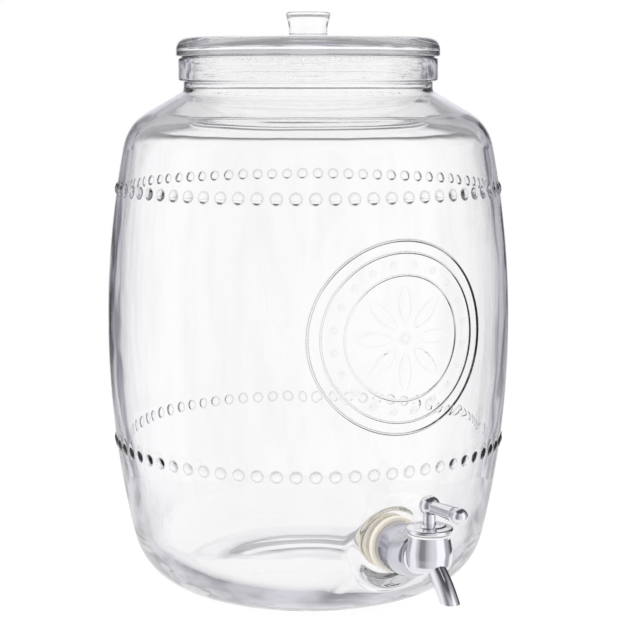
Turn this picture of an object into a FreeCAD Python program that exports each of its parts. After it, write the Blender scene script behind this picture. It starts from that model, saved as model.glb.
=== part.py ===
"""Barrel-shaped glass dispenser jar with a lift-off glass lid and a lever tap, in millimetres.

Z is up and the origin is on the jar's axis at the table. The tap and the medallion face -Y.
Each piece is a separate solid in its own STEP file.
"""
import FreeCAD
import Part
import math
import os

V = FreeCAD.Vector
UP = V(0, 0, 1)
OUT = V(0, -1, 0)          # the way the tap points

# Glass jar: the side is one long arc, with the heel and the shoulder rounded into it
BELLY_R = 116.6            # widest radius of the barrel
BELLY_Z = 150.0
SIDE_ARC = 540.0           # radius of the side's bulge
WALL = 6.2                 # wall at the belly
WALL_LEAN = 6.4            # how much higher the inner arc's centre is, so the wall thins upwards
HEEL_ARC = 38.0
HEEL_ARC_IN = 32.0
FOOT_IN_R = 57.0           # inner edge of the ring that it stands on
PUSH_UP = 4.0              # hollow under the base
FLOOR_Z = 9.5
FLOOR_RISE = 2.5
SHOULDER_ARC = 28.0
SHOULDER_ARC_IN = 22.0
SHOULDER_Z = 250.5         # height of the shoulder arc's centre
SHOULDER_IN_Z = 250.0
SHOULDER_SLOPE = 30.0      # degrees above the horizontal
NECK_R = 71.5
NECK_FILLET = 3.0
COLLAR_R = 74.4
COLLAR_BOTTOM_Z = 292.4
RIM_Z = 305.4
MOUTH_R = 67.5
MOUTH_FILLET = 8.0

# Two rows of moulded beads round the jar
BEAD_COUNT = 68
BEAD_ROWS_Z = (86.0, 232.2)
BEAD_R = 3.4               # where a bead meets the wall
BEAD_HEIGHT = 1.1
BEAD_ROOT = 0.5            # how far each bead is carried into what it stands on
BEAD_BAND = 8.4            # height of the straight band that each row stands on
BAND_DEPTH = 1.2           # thickness of the band, let into the wall
FRONT_PITCHES = 12         # the front sector ends this many bead pitches from the tap on each side

# The one moulding is handed over in levels, so that each keeps close collision pieces
FOOT_TOP_Z = 30.0          # floor and heel
SKIRT_TOP_Z = 80.0         # lower wall, with the tap's panel in its front
BARREL_TOP_Z = 238.0       # shoulder and neck above this
PANEL_HALF_WIDTH = 32.0

# Embossed medallion on the front: three plain rings, a ring of beads and an eight-petal rosette
MEDALLION_Z = 159.0
MEDALLION_RINGS = ((52.4, 2.4), (45.8, 1.5), (34.0, 1.5))   # outer radius and width of each ring
PLATE_R = 53.6             # the round plate that carries the relief, flush with the wall
PLATE_DEPTH = 1.5
RELIEF = 0.9
RELIEF_ROOT = 0.8          # how far the relief is carried into the plate
STUD_COUNT = 20
STUD_CIRCLE = 39.0
STUD_R = 2.6
STUD_HEIGHT = 1.3
PETAL_COUNT = 8
PETAL_IN, PETAL_OUT = 7.0, 29.5
PETAL_HALF_WIDTH = 4.6
ROSETTE_EYE_R = 4.2
ROSETTE_EYE_HEIGHT = 1.5

# Flat pad for the tap
TAP_Z = 45.5
PAD_R = 25.0
PAD_FACE = 105.8           # distance of the pad's outer face from the jar's axis
PAD_ROUND = 4.0
PAD_IN_R = 17.5
PAD_IN_FACE = 97.6
TAP_HOLE_R = 8.5

# Glass lid and its clear seal
SEAL_FLANGE = 0.8
LID_Z = RIM_Z + SEAL_FLANGE
LID_R = 75.6
LID_EDGE_Z = LID_Z + 4.2
LID_TOP_Z = 316.7
LID_CROWN = 0.9
PLUG_RING_R = 64.0
PLUG_RING_IN_R = 58.5
PLUG_RING_BOTTOM_Z = 291.5
LID_CEILING_Z = 309.4
KNOB_R = 11.3
KNOB_TOP_R = 12.9
KNOB_TOP_Z = 331.5
SEAL_R = 66.0
SEAL_RIB_R = MOUTH_R - 0.3
SEAL_RIBS = 3
SEAL_BOTTOM_Z = 292.6
SEAL_FLANGE_R = 72.6

# Clamped stack along the tap's shank, as distances from the jar's axis
SHANK_R = 8.0
SHANK_BORE_R = 5.0
SHANK_END = 82.4
GASKET = 3.0
OUTER_GASKET_R = 15.6
INNER_GASKET_R = 15.0
WASHER = 1.2
WASHER_R = 14.4
NUT_FLANGE_R = 15.4
NUT_FLANGE = 2.4
NUT_FLATS = 24.0
NUT_HEIGHT = 8.0
SLEEVE_R = 13.5
SLEEVE_WALL = 2.2
SLEEVE_FRONT_WALL = 7.4
SLEEVE_NOSE = 11.2         # length of the drawn-in front end
SLEEVE_NOSE_R = 11.2
FIT = 0.05                 # radial play of a sliding or turning fit

# Valve cup, bonnet, stem and plug, on the tap's upright axis
CUP_AXIS = 143.8           # distance of the upright axis from the jar's axis
CUP_R = 12.0
CUP_NECK_R = 10.9
CUP_BOTTOM_Z = 41.4
CUP_FLOOR_Z = 44.6
CUP_TOP_Z = 60.2
CUP_BORE_R = 9.0
NOSE_R = 9.5               # rounded end of the shank, under the cup
NOSE_CENTRE = 132.0
PORT_R = 2.9
PORT_Z = 48.6
BONNET_WASHER = 0.9
BONNET_Z = CUP_TOP_Z + BONNET_WASHER
BONNET_R = 12.3
BONNET_RIM = 3.2
BONNET_BOSS_R = 8.0
BONNET_TOP_Z = 66.0
BONNET_SKIRT_Z = 57.6
STEM_R = 3.4
STEM_FLANGE_R = 6.2
STEM_FLANGE_Z = 54.7
STEM_FLANGE = 1.6
STEM_RING_Z = (59.6, 62.6)
STEM_RING_R = 0.75
TANG = (8.0, 2.2, 2.4)     # length, width and depth of the stem's drive tongue
TANG_PLAY = 0.1
PLUG_R = CUP_BORE_R - 0.08
PLUG_TOP_Z = 54.6
PLUG_BOTTOM_Z = 44.8
PLUG_WELL_R = 4.6
PLUG_RING_Z = 53.1
PLUG_RING_SECTION = 0.8
INLET_SEAL_R = 4.6
INLET_SEAL = 1.5

# Spout: a bent tube let into the cup's bottom
SPOUT_R = 5.0
SPOUT_BORE_R = 4.0
SPOUT_ARC = 62.6
SPOUT_START = (1.6, 47.0)  # distance in front of the upright axis, and height
SPOUT_START_DEG = 30.0     # below the horizontal
SPOUT_END_DEG = 64.0
SPOUT_TIP_Z = 29.4

# Lever: ball hub, tapered arm and ball tip
LEVER_RISE = 2.8           # degrees that the arm slopes up towards its tip
HUB_R = 5.4
HUB_Z = 75.3
HUB_SEAT_Z = HUB_Z - 4.1
HUB_FACE = 4.3             # flat on the hub's front where the arm butts
HUB_BORE_R = 2.4
HUB_BORE_TOP_Z = 77.0
ARM_ROOT_R = 3.1
ARM_TIP_R = 3.9
ARM_LENGTH = 21.2
ARM_TENON_R = 1.6
ARM_TENON = 1.6
TIP_R = 4.2
TIP_CENTRE = 29.9          # distance from the hub's centre
TIP_NECK_R = 3.2
SCREW_R = 1.3
SCREW_LENGTH = 2.6
SCREW_SOCKET = 1.3         # across flats
SCREW_SOCKET_DEPTH = 1.2


# Shared shapes
def on_circle(centre, radius, degrees):
    """The point at that angle on a circle in the section plane."""
    angle = math.radians(degrees)
    return (centre[0] + radius * math.cos(angle), centre[1] + radius * math.sin(angle))


def section_point(point):
    return V(point[0], 0, point[1])


def line(a, b):
    return Part.makeLine(section_point(a), section_point(b))


def arc(centre, radius, start_deg, end_deg):
    ends = [on_circle(centre, radius, d) for d in (start_deg, (start_deg + end_deg) / 2, end_deg)]
    return Part.Arc(*[section_point(p) for p in ends]).toShape()


def rounded_edges(corners, closed=True):
    """Edges through corner points (r, z, radius), each corner rounded by a tangent arc of its radius."""
    count = len(corners)
    joints = []
    for i, (x, z, radius) in enumerate(corners):
        here = V(x, 0, z)
        if radius == 0 or (not closed and i in (0, count - 1)):
            joints.append((here, here, here))
            continue
        before = V(corners[i - 1][0], 0, corners[i - 1][1]) - here
        after = V(corners[(i + 1) % count][0], 0, corners[(i + 1) % count][1]) - here
        before.normalize()
        after.normalize()
        half = before.getAngle(after) / 2
        reach = radius / math.tan(half)
        middle = before + after
        middle.normalize()
        centre = here + middle * (radius / math.sin(half))
        joints.append((here + before * reach, centre - middle * radius, here + after * reach))
    edges = []
    for i, (start, through, end) in enumerate(joints):
        if start != end:
            edges.append(Part.Arc(start, through, end).toShape())
        if i + 1 < count or closed:
            nxt = joints[(i + 1) % count][0]
            if (nxt - end).Length > 1e-6:
                edges.append(Part.makeLine(end, nxt))
    return edges


def turned(edges, start_deg=0, sweep_deg=360):
    """The solid swept by a section in the XZ plane, turned about Z."""
    face = Part.Face(Part.Wire(edges))
    face.rotate(V(0, 0, 0), UP, start_deg)
    return face.revolve(V(0, 0, 0), UP, sweep_deg)


def turned_corners(corners):
    return turned(rounded_edges(corners))


def upright(shape):
    """Moves a shape turned about Z to the tap's upright axis."""
    return shape.translated(OUT * CUP_AXIS)


def along_tap(shape):
    """Lays a shape turned about Z along the tap, its Z counted outwards from the jar's axis."""
    laid = shape.copy()
    laid.rotate(V(0, 0, 0), V(1, 0, 0), 90)
    laid.translate(UP * TAP_Z)
    return laid


def along_lever(shape, rise=LEVER_RISE):
    """Lays a shape turned about Z along the lever, its Z counted outwards from the hub's centre."""
    laid = shape.copy()
    laid.rotate(V(0, 0, 0), V(1, 0, 0), 90 - rise)
    laid.translate(UP * HUB_Z + OUT * CUP_AXIS)
    return laid


def tap_disc(radius, start, end):
    return along_tap(Part.makeCylinder(radius, end - start, V(0, 0, start)))


def tap_ring(outer, inner, start, end):
    return tap_disc(outer, start, end).cut(tap_disc(inner, start - 1, end + 1))


def cup_disc(radius, low, high):
    return upright(Part.makeCylinder(radius, high - low, V(0, 0, low)))


def hexagon_bar(corner_r, start, length):
    corners = [V(*on_circle((0, 0), corner_r, 60 * i), start) for i in range(7)]
    return Part.Face(Part.makePolygon(corners)).extrude(UP * length)


def o_ring(major, section, z):
    """An O-ring of round section."""
    return Part.makeTorus(major, section, V(0, 0, z))


# Glass jar
SIDE_CENTRE = (BELLY_R - SIDE_ARC, BELLY_Z)
INNER_ARC = SIDE_ARC - WALL
INNER_CENTRE = (BELLY_R - SIDE_ARC, BELLY_Z + WALL_LEAN)


def side_radius(z):
    """Outer radius of the barrel at a height."""
    return SIDE_CENTRE[0] + math.sqrt(SIDE_ARC ** 2 - (z - BELLY_Z) ** 2)


def nested_centre(big_centre, big_arc, small_arc, z):
    """Centre at height z of a small arc that touches the big one from inside, and the angle of the touch."""
    reach = big_arc - small_arc
    rise = z - big_centre[1]
    centre = (big_centre[0] + math.sqrt(reach ** 2 - rise ** 2), z)
    return centre, math.degrees(math.asin(rise / reach))


def band_corners(z):
    """Section of the groove that holds a bead band: down its outer edge, along the bottom and out again."""
    angles = [math.degrees(math.asin((z + side * BEAD_BAND / 2 - BELLY_Z) / SIDE_ARC)) for side in (-1, 1)]
    low, high = [on_circle(SIDE_CENTRE, SIDE_ARC, angle) for angle in angles]
    return [low, (low[0] - BAND_DEPTH, low[1]), (high[0] - BAND_DEPTH, high[1]), high]


def side_edges(heel_deg, shoulder_deg):
    """The barrel's outer side from the heel to the shoulder, with a groove for each bead band."""
    edges = []
    reached = heel_deg
    for z in BEAD_ROWS_Z:
        low = math.degrees(math.asin((z - BEAD_BAND / 2 - BELLY_Z) / SIDE_ARC))
        high = math.degrees(math.asin((z + BEAD_BAND / 2 - BELLY_Z) / SIDE_ARC))
        corners = band_corners(z)
        edges.append(arc(SIDE_CENTRE, SIDE_ARC, reached, low))
        edges += [line(a, b) for a, b in zip(corners, corners[1:])]
        reached = high
    edges.append(arc(SIDE_CENTRE, SIDE_ARC, reached, shoulder_deg))
    return edges


def crown(reach, edge_z, rise):
    """A shallow arc centred on the axis, from the axis out to an edge that is lower by the rise."""
    ball = (reach ** 2 + rise ** 2) / (2 * rise)
    return arc((0, edge_z + rise - ball), ball, 90, math.degrees(math.acos(reach / ball)))


def jar_section():
    """Closed half section: under the base, up the outside, over the rim and down the inside."""
    heel, heel_deg = nested_centre(SIDE_CENTRE, SIDE_ARC, HEEL_ARC, HEEL_ARC)
    shoulder, shoulder_deg = nested_centre(SIDE_CENTRE, SIDE_ARC, SHOULDER_ARC, SHOULDER_Z)
    heel_in, heel_in_deg = nested_centre(INNER_CENTRE, INNER_ARC, HEEL_ARC_IN, FLOOR_Z + HEEL_ARC_IN)
    shoulder_in, shoulder_in_deg = nested_centre(INNER_CENTRE, INNER_ARC, SHOULDER_ARC_IN, SHOULDER_IN_Z)
    slope_deg = 90 - SHOULDER_SLOPE
    fall = math.tan(math.radians(SHOULDER_SLOPE))
    cone = on_circle(shoulder, SHOULDER_ARC, slope_deg)
    cone_in = on_circle(shoulder_in, SHOULDER_ARC_IN, slope_deg)
    neck = (NECK_R, cone[1] + (cone[0] - NECK_R) * fall)
    mouth = (MOUTH_R, cone_in[1] + (cone_in[0] - MOUTH_R) * fall)
    finish = rounded_edges([
        (*cone, 0), (*neck, NECK_FILLET), (NECK_R, COLLAR_BOTTOM_Z, 1.0), (COLLAR_R, COLLAR_BOTTOM_Z, 1.4),
        (COLLAR_R, RIM_Z, 1.0), (MOUTH_R, RIM_Z, 1.0), (*mouth, MOUTH_FILLET), (*cone_in, 0)], closed=False)
    return [
        crown(FOOT_IN_R, 0, PUSH_UP),
        line((FOOT_IN_R, 0), (heel[0], 0)),
        arc(heel, HEEL_ARC, -90, heel_deg),
        *side_edges(heel_deg, shoulder_deg),
        arc(shoulder, SHOULDER_ARC, shoulder_deg, slope_deg),
        *finish,
        arc(shoulder_in, SHOULDER_ARC_IN, slope_deg, shoulder_in_deg),
        arc(INNER_CENTRE, INNER_ARC, shoulder_in_deg, heel_in_deg),
        arc(heel_in, HEEL_ARC_IN, heel_in_deg, -90),
        crown(heel_in[0], FLOOR_Z, FLOOR_RISE),
        line((0, FLOOR_Z + FLOOR_RISE), (0, PUSH_UP)),
    ]


def dome(radius, height):
    """A bead standing on z = 0: the cap of a ball, carried on a little below the surface."""
    ball = (radius ** 2 + height ** 2) / (2 * height)
    root_deg = math.degrees(math.asin((ball - height - BEAD_ROOT) / ball))
    return Part.makeSphere(ball, V(0, 0, height - ball), UP, root_deg, 90, 360)


def on_side(shape, azimuth_deg, z):
    """Stands a shape on the barrel's side, azimuth 0 at the front, with its Z along the wall's normal."""
    lean = math.degrees(math.asin((z - BELLY_Z) / SIDE_ARC))
    placed = shape.copy()
    placed.rotate(V(0, 0, 0), V(1, 0, 0), 90 - lean)
    placed.translate(V(0, -side_radius(z), z))
    placed.rotate(V(0, 0, 0), UP, azimuth_deg)
    return placed


BEAD_PITCH = 360 / BEAD_COUNT


def bead_band(z):
    """A flat band round the jar, flush with the wall, and its row of beads."""
    corners = band_corners(z)
    band = turned([line(a, b) for a, b in zip(corners, corners[1:] + corners[:1])])
    bead = dome(BEAD_R, BEAD_HEIGHT)
    return band.multiFuse([on_side(bead, (i + 0.5) * BEAD_PITCH, z) for i in range(BEAD_COUNT)])


def side_skin(depth, height):
    """A skin on the barrel's side at the medallion, from a depth in the wall to a height over it."""
    reach = PLATE_R + 6
    span = math.degrees(math.asin(reach / SIDE_ARC))
    middle = math.degrees(math.asin((MEDALLION_Z - BELLY_Z) / SIDE_ARC))
    low, high = middle - span, middle + span
    root, top = SIDE_ARC - depth, SIDE_ARC + height
    half = FRONT_PITCHES * BEAD_PITCH
    return turned([
        arc(SIDE_CENTRE, top, low, high),
        line(on_circle(SIDE_CENTRE, top, high), on_circle(SIDE_CENTRE, root, high)),
        arc(SIDE_CENTRE, root, high, low),
        line(on_circle(SIDE_CENTRE, root, low), on_circle(SIDE_CENTRE, top, low)),
    ], -90 - half, 2 * half)


def medallion_disc():
    return Part.makeCylinder(PLATE_R, BELLY_R + 10, UP * MEDALLION_Z, OUT)


def petal():
    """A leaf outline of two arcs, drawn upwards from the rosette's eye."""
    middle = (PETAL_IN + PETAL_OUT) / 2
    tips = V(0, 0, PETAL_IN), V(0, 0, PETAL_OUT)
    sides = [Part.Arc(tips[0], V(side * PETAL_HALF_WIDTH, 0, middle), tips[1]).toShape() for side in (-1, 1)]
    return Part.Face(Part.Wire(sides))


def medallion():
    """A plate flush with the wall, with raised rings, petals and studs on it."""
    depth = BELLY_R + 10
    stencils = []
    for outer, width in MEDALLION_RINGS:
        ring = Part.makeCylinder(outer, depth, V(0, 0, 0), OUT)
        stencils.append(ring.cut(Part.makeCylinder(outer - width, depth, V(0, 0, 0), OUT)))
    leaf = petal().extrude(OUT * depth)
    for i in range(PETAL_COUNT):
        stencils.append(leaf.rotated(V(0, 0, 0), OUT, i * 360 / PETAL_COUNT))
    layer = side_skin(RELIEF_ROOT, RELIEF)
    pieces = [s.translated(UP * MEDALLION_Z).common(layer) for s in stencils]
    stud = dome(STUD_R, STUD_HEIGHT)
    for i in range(STUD_COUNT):
        angle = (i + 0.5) * 2 * math.pi / STUD_COUNT
        height = MEDALLION_Z + STUD_CIRCLE * math.cos(angle)
        aside = STUD_CIRCLE * math.sin(angle)
        pieces.append(on_side(stud, math.degrees(math.asin(aside / side_radius(height))), height))
    pieces.append(on_side(dome(ROSETTE_EYE_R, ROSETTE_EYE_HEIGHT), 0, MEDALLION_Z))
    return medallion_disc().common(side_skin(PLATE_DEPTH, 0)).multiFuse(pieces)


def tap_pad(wall):
    """Gives the wall a flat round pad outside and a flat seat inside, with the tap's hole through both."""
    boss = along_tap(turned_corners([
        (0, PAD_IN_FACE + 4, 0), (PAD_R, PAD_IN_FACE + 4, 0),
        (PAD_R, PAD_FACE, PAD_ROUND), (0, PAD_FACE, 0)]))
    seat = tap_disc(PAD_IN_R, PAD_IN_FACE, PAD_IN_FACE + 6)
    clear_front = tap_disc(PAD_R, PAD_FACE, PAD_FACE + 20)
    clear_inside = tap_disc(PAD_IN_R, PAD_IN_FACE - 12, PAD_IN_FACE)
    hole = tap_disc(TAP_HOLE_R, PAD_IN_FACE - 12, PAD_FACE + 20)
    return wall.fuse(boss).fuse(seat).cut(clear_front).cut(clear_inside).cut(hole)


def level(shape, low, high):
    """The part of a shape between two heights."""
    return shape.common(Part.makeBox(4 * BELLY_R, 4 * BELLY_R, high - low, V(-2 * BELLY_R, -2 * BELLY_R, low)))


def front_box(low, high):
    """A box in front of the tap's seat, as wide as the tap's panel."""
    return Part.makeBox(2 * PANEL_HALF_WIDTH, BELLY_R, high - low, V(-PANEL_HALF_WIDTH, -BELLY_R - 60, low))


def jar_front(low, high):
    """The front sector of the wall, with the tap's pad and the medallion's seat, between two heights."""
    half = FRONT_PITCHES * BEAD_PITCH
    sector = tap_pad(turned(jar_section(), -90 - half, 2 * half))
    seat = medallion_disc().common(side_skin(PLATE_DEPTH, RELIEF + 1))
    return level(sector.cut(seat), low, high)


def jar_rest(low, high):
    half = FRONT_PITCHES * BEAD_PITCH
    return level(turned(jar_section(), -90 + half, 360 - 2 * half), low, high)


def glass_foot():
    return jar_front(-1, FOOT_TOP_Z).fuse(jar_rest(-1, FOOT_TOP_Z))


def glass_skirt():
    front = jar_front(FOOT_TOP_Z, SKIRT_TOP_Z).cut(front_box(FOOT_TOP_Z - 1, SKIRT_TOP_Z + 1))
    return jar_rest(FOOT_TOP_Z, SKIRT_TOP_Z).fuse(front)


def tap_panel():
    return jar_front(FOOT_TOP_Z, SKIRT_TOP_Z).common(front_box(FOOT_TOP_Z - 1, SKIRT_TOP_Z + 1))


def glass_barrel():
    return jar_front(SKIRT_TOP_Z, BARREL_TOP_Z).fuse(jar_rest(SKIRT_TOP_Z, BARREL_TOP_Z))


def glass_neck():
    return jar_front(BARREL_TOP_Z, RIM_Z + 1).fuse(jar_rest(BARREL_TOP_Z, RIM_Z + 1))


def lower_beads():
    return bead_band(BEAD_ROWS_Z[0])


def upper_beads():
    return bead_band(BEAD_ROWS_Z[1])


# Glass lid and seal
def glass_lid():
    knob_foot_z = LID_TOP_Z + LID_CROWN
    flare_z = KNOB_TOP_Z - 6.5
    return turned_corners([
        (0, LID_CEILING_Z, 0), (PLUG_RING_IN_R, LID_CEILING_Z, 4), (PLUG_RING_IN_R, PLUG_RING_BOTTOM_Z, 2.4),
        (PLUG_RING_R, PLUG_RING_BOTTOM_Z, 2.4), (PLUG_RING_R, LID_Z, 0), (LID_R, LID_Z, 1.2),
        (LID_R, LID_TOP_Z, LID_TOP_Z - LID_EDGE_Z), (KNOB_R + 4, knob_foot_z, 0), (KNOB_R, knob_foot_z, 2.2),
        (KNOB_R, flare_z, 6), (KNOB_TOP_R, KNOB_TOP_Z - 2, 2), (KNOB_TOP_R - 1.2, KNOB_TOP_Z, 1.6),
        (0, KNOB_TOP_Z, 0)])


def lid_seal():
    """A clear sleeve round the lid's plug ring, with soft ribs and a thin flange that lies on the rim."""
    top = LID_Z - SEAL_FLANGE
    pitch = (top - SEAL_BOTTOM_Z) / (SEAL_RIBS + 1)
    half_rib = 0.9
    corners = [
        (PLUG_RING_R, SEAL_BOTTOM_Z, 0), (SEAL_R - 0.8, SEAL_BOTTOM_Z, 0), (SEAL_R, SEAL_BOTTOM_Z + 0.8, 0)]
    for i in range(SEAL_RIBS):
        z = SEAL_BOTTOM_Z + (i + 1) * pitch
        corners += [(SEAL_R, z - half_rib, 0), (SEAL_RIB_R, z, 0.35), (SEAL_R, z + half_rib, 0)]
    corners += [(SEAL_R, top, 0), (SEAL_FLANGE_R, top, 0), (SEAL_FLANGE_R, LID_Z, 0), (PLUG_RING_R, LID_Z, 0)]
    return turned_corners(corners)


# Clamped stack along the shank
OUTER_GASKET_FACE = PAD_FACE + GASKET
INNER_GASKET_FACE = PAD_IN_FACE - GASKET
WASHER_FACE = INNER_GASKET_FACE - WASHER
NUT_FACE = WASHER_FACE - NUT_HEIGHT
SLEEVE_END = CUP_AXIS - CUP_R + 1.4


def outer_gasket():
    return along_tap(turned_corners([
        (SHANK_R + FIT, PAD_FACE, 0), (OUTER_GASKET_R, PAD_FACE, 0.8),
        (OUTER_GASKET_R, OUTER_GASKET_FACE, 0.8), (SHANK_R + FIT, OUTER_GASKET_FACE, 0)]))


def inner_gasket():
    return along_tap(turned_corners([
        (SHANK_R + FIT, INNER_GASKET_FACE, 0), (INNER_GASKET_R, INNER_GASKET_FACE, 0.8),
        (INNER_GASKET_R, PAD_IN_FACE, 0.8), (SHANK_R + FIT, PAD_IN_FACE, 0)]))


def inner_washer():
    return tap_ring(WASHER_R, SHANK_R + FIT, WASHER_FACE, INNER_GASKET_FACE)


def shank_nut():
    """A hexagon nut with a round flange against the washer."""
    corner_r = NUT_FLATS / math.sqrt(3)
    hexagon = hexagon_bar(corner_r, NUT_FACE, NUT_HEIGHT - NUT_FLANGE)
    rounding = turned_corners([(0, NUT_FACE, 0), (corner_r - 1.2, NUT_FACE, 0), (corner_r, NUT_FACE + 1.2, 0),
                               (corner_r, WASHER_FACE, 0), (0, WASHER_FACE, 0)])
    flange = turned_corners([(0, WASHER_FACE - NUT_FLANGE, 0), (NUT_FLANGE_R, WASHER_FACE - NUT_FLANGE, 0.9),
                             (NUT_FLANGE_R, WASHER_FACE, 0.5), (0, WASHER_FACE, 0)])
    nut = along_tap(hexagon.common(rounding).fuse(flange))
    return nut.cut(tap_disc(SHANK_R + FIT, NUT_FACE - 1, WASHER_FACE + 1)).removeSplitter()


def shank_sleeve():
    """The hollow barrel between the outer gasket and the valve cup, saddled round the cup's back."""
    inside_r = SLEEVE_R - SLEEVE_WALL
    inside_end = SLEEVE_END - SLEEVE_FRONT_WALL
    drawn_in = SLEEVE_END - SLEEVE_NOSE
    barrel = along_tap(turned_corners([
        (inside_r, OUTER_GASKET_FACE, 0), (SLEEVE_R, OUTER_GASKET_FACE, 0.6), (SLEEVE_R, drawn_in, 9),
        (SLEEVE_NOSE_R, SLEEVE_END, 3), (SHANK_R + FIT, SLEEVE_END, 0), (SHANK_R + FIT, inside_end, 0), (inside_r, inside_end, 1.5)]))
    return barrel.cut(cup_form())


# Valve cup with its shank
def spout_path():
    """Centreline of the spout, as an arc in the YZ plane that runs on past the tip."""
    start_deg = 90 - SPOUT_START_DEG
    end_deg = 90 - SPOUT_END_DEG
    first = math.radians(start_deg)
    centre = (SPOUT_START[0] - SPOUT_ARC * math.cos(first), SPOUT_START[1] - SPOUT_ARC * math.sin(first))
    points = [on_circle(centre, SPOUT_ARC, d) for d in (start_deg, (start_deg + end_deg) / 2, end_deg)]
    return Part.Arc(*[V(0, -CUP_AXIS - ahead, z) for ahead, z in points]).toShape()


def spout_rod(radius):
    path = spout_path()
    heading = math.radians(SPOUT_START_DEG)
    first = path.valueAt(path.FirstParameter)
    face = Part.Face(Part.Wire(Part.makeCircle(radius, first, V(0, -math.cos(heading), -math.sin(heading)))))
    rod = Part.Wire(path).makePipeShell([face.OuterWire], True, False)
    floor_cut = Part.makeBox(80, 80, 40, V(-40, -CUP_AXIS - 60, SPOUT_TIP_Z - 40))
    return rod.cut(floor_cut)


def cup_bore():
    return cup_disc(CUP_BORE_R, CUP_FLOOR_Z, CUP_TOP_Z + 1)


def cup_form():
    """Outside of the cup, before it is bored."""
    return upright(turned_corners([
        (0, CUP_BOTTOM_Z, 0), (CUP_R - 0.6, CUP_BOTTOM_Z, 4.2), (CUP_R + 0.3, CUP_BOTTOM_Z + 9.5, 14),
        (CUP_NECK_R, CUP_TOP_Z - 1.6, 1.2), (CUP_NECK_R, CUP_TOP_Z, 0.3), (0, CUP_TOP_Z, 0)]))


def valve_body():
    shank = tap_disc(SHANK_R, SHANK_END, SLEEVE_END + 2)
    nose = along_tap(Part.makeSphere(NOSE_R, V(0, 0, NOSE_CENTRE)))
    nose = nose.common(tap_disc(2 * NOSE_R, SLEEVE_END, CUP_AXIS))
    body = cup_form().fuse(shank).fuse(nose)
    port = Part.makeCylinder(PORT_R, CUP_R + 8, V(0, -CUP_AXIS + CUP_R + 6, PORT_Z), OUT)
    seal_seat = Part.makeCylinder(INLET_SEAL_R, INLET_SEAL + CUP_BORE_R,
                                  V(0, -CUP_AXIS + CUP_BORE_R + INLET_SEAL, PORT_Z), OUT)
    seal_seat = seal_seat.cut(cup_disc(CUP_BORE_R - 0.5, CUP_FLOOR_Z - 5, CUP_TOP_Z))
    seal_seat = seal_seat.common(Part.makeBox(40, CUP_BORE_R + 10, 40, V(-20, -CUP_AXIS, PORT_Z - 20)))
    bore = tap_disc(SHANK_BORE_R, SHANK_END - 1, CUP_AXIS - CUP_BORE_R - INLET_SEAL - 0.8)
    return body.cut(bore).cut(port).cut(cup_bore()).cut(seal_seat).cut(spout_rod(SPOUT_R))


def inlet_seal():
    """A soft ring round the port, hollowed to follow the turning plug."""
    ring = Part.makeCylinder(INLET_SEAL_R, INLET_SEAL + CUP_BORE_R,
                             V(0, -CUP_AXIS + CUP_BORE_R + INLET_SEAL, PORT_Z), OUT)
    ring = ring.common(Part.makeBox(40, CUP_BORE_R + 10, 40, V(-20, -CUP_AXIS, PORT_Z - 20)))
    ring = ring.cut(Part.makeCylinder(PORT_R, 60, V(0, -CUP_AXIS + 30, PORT_Z), OUT))
    return ring.cut(cup_disc(CUP_BORE_R, CUP_FLOOR_Z - 10, CUP_TOP_Z + 10))


def spout_tube():
    return spout_rod(SPOUT_R).cut(spout_rod(SPOUT_BORE_R)).cut(cup_bore())


# Bonnet
def bonnet_washer():
    disc = cup_disc(CUP_NECK_R + 0.5, CUP_TOP_Z, BONNET_Z)
    return disc.cut(cup_disc(CUP_BORE_R, CUP_TOP_Z - 1, BONNET_Z + 1))


def bonnet_cap():
    """The flared cap that screws into the cup and holds the stem."""
    rim_top = BONNET_Z + BONNET_RIM
    return upright(turned_corners([
        (STEM_R + FIT, BONNET_SKIRT_Z, 0), (CUP_BORE_R - FIT, BONNET_SKIRT_Z, 0.4),
        (CUP_BORE_R - FIT, BONNET_Z, 0), (CUP_NECK_R, BONNET_Z, 0.4),
        (BONNET_R, BONNET_Z + 1.0, 1.0), (BONNET_R, rim_top - 0.4, 1.1),
        (BONNET_BOSS_R + 0.8, rim_top + 0.5, 0.5), (BONNET_BOSS_R, rim_top + 1.1, 0.8),
        (STEM_R + 1.6, BONNET_TOP_Z, 0.6), (STEM_R + FIT, BONNET_TOP_Z, 0)]))


# Turning valve
def tang(play, top):
    """The flat tongue that turns the plug, or its slot when there is play round it."""
    length, width, depth = TANG
    low = PLUG_TOP_Z - depth - play
    corner = V(-length / 2 - play, -CUP_AXIS - width / 2 - play, low)
    return Part.makeBox(length + 2 * play, width + 2 * play, top - low, corner)


def valve_plug():
    """A cylinder with a T-shaped waterway: a cross hole, and a well down to the spout."""
    body = upright(turned_corners([
        (0, PLUG_BOTTOM_Z, 0), (PLUG_R, PLUG_BOTTOM_Z, 0.4), (PLUG_R, PLUG_TOP_Z, 0.4), (0, PLUG_TOP_Z, 0)]))
    cross = Part.makeCylinder(PORT_R, 40, V(-20, -CUP_AXIS, PORT_Z), V(1, 0, 0))
    well = cup_disc(PLUG_WELL_R, PLUG_BOTTOM_Z - 1, PORT_Z)
    groove = upright(o_ring(PLUG_R - PLUG_RING_SECTION, PLUG_RING_SECTION + 0.05, PLUG_RING_Z))
    return body.cut(cross).cut(well).cut(groove).cut(tang(TANG_PLAY, PLUG_TOP_Z + 1))


def plug_ring():
    return upright(o_ring(PLUG_R - PLUG_RING_SECTION, PLUG_RING_SECTION, PLUG_RING_Z))


def stem_ring_major():
    return STEM_R - STEM_RING_R + 0.02


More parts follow.
